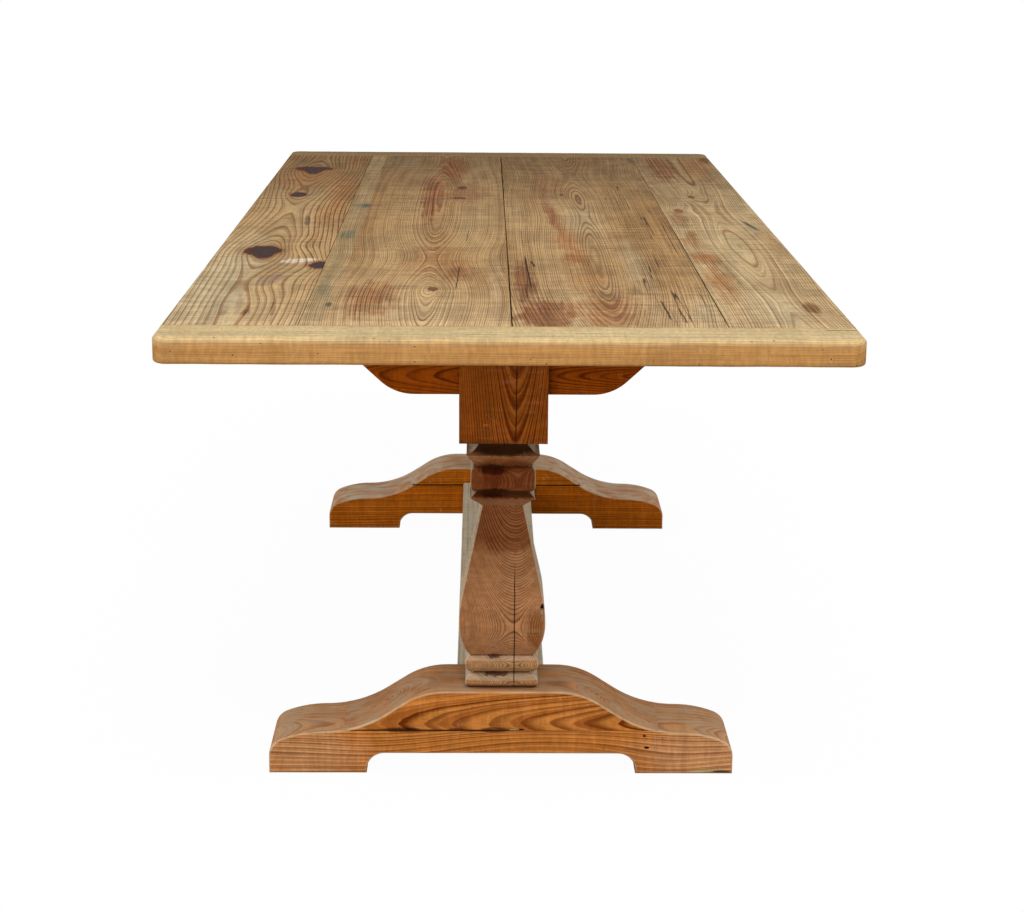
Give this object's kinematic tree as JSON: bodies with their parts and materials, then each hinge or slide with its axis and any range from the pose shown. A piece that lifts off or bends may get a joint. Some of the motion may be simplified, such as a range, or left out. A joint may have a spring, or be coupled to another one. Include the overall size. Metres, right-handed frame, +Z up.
{
  "type": "trestle dining table",
  "caption": "Trestle dining table in reclaimed pine: planked top with breadboard ends on carved square posts, ogee feet and a low flat stretcher.",
  "frame": {"origin": "on the floor, under the middle of the table top", "axes": "+X across the table, +Y along its length, +Z up"},
  "size_m": [0.944, 2.09, 0.76],
  "materials": {
    "top_planks": "old bare pine, bleached and worn",
    "breadboard": "old pine, waxed",
    "tongues": "sawn pine",
    "foot_pine": "pitch pine, waxed",
    "post_pine": "pitch pine, waxed",
    "bearer_pine": "pitch pine, waxed",
    "stretcher_pine": "old pine, sawn and dusty",
    "pegs": "riven oak",
    "screws": "dull steel"
  },
  "bodies": {
    "root": {"bearer_far": "bearer_pine", "bearer_near": "bearer_pine", "bearer_screws_far": "screws", "bearer_screws_near": "screws", "breadboard_far": "breadboard", "breadboard_near": "breadboard", "breadboard_pegs_far": "pegs", "breadboard_pegs_near": "pegs", "bridle_pegs_far": "pegs", "bridle_pegs_near": "pegs", "foot_beam_far": "foot_pine", "foot_beam_near": "foot_pine", "foot_crown_far": "foot_pine", "foot_crown_near": "foot_pine", "plank_inner_left": "top_planks", "plank_inner_right": "top_planks", "plank_outer_left": "top_planks", "plank_outer_right": "top_planks", "post_far": "post_pine", "post_near": "post_pine", "post_pegs_far": "pegs", "post_pegs_near": "pegs", "stretcher": "stretcher_pine", "stretcher_pegs_far": "pegs", "stretcher_pegs_near": "pegs", "tongue_left": "tongues", "tongue_middle": "tongues", "tongue_right": "tongues"}
  },
  "joints": []
}
